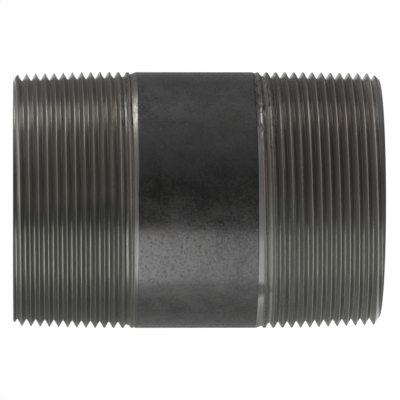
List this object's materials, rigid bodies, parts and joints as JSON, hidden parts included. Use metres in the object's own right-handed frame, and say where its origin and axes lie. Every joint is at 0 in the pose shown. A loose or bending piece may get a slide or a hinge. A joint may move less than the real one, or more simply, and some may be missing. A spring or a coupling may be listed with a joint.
{
  "type": "pipe nipple",
  "caption": "Short length of black steel pipe with a tapered male pipe thread on each end and a plain middle, for joining two female threaded fittings.",
  "frame": {"origin": "centre of the pipe at its bottom end face", "axes": "+Z along the pipe's axis towards its top end; +X is the side that faces up in the picture"},
  "size_m": [0.0888, 0.0888, 0.127],
  "materials": {
    "black_steel": "black mill scale on the pipe, bare oiled steel on the cut threads and ends"
  },
  "bodies": {
    "root": {"pipe_nipple": "black_steel"}
  },
  "joints": []
}
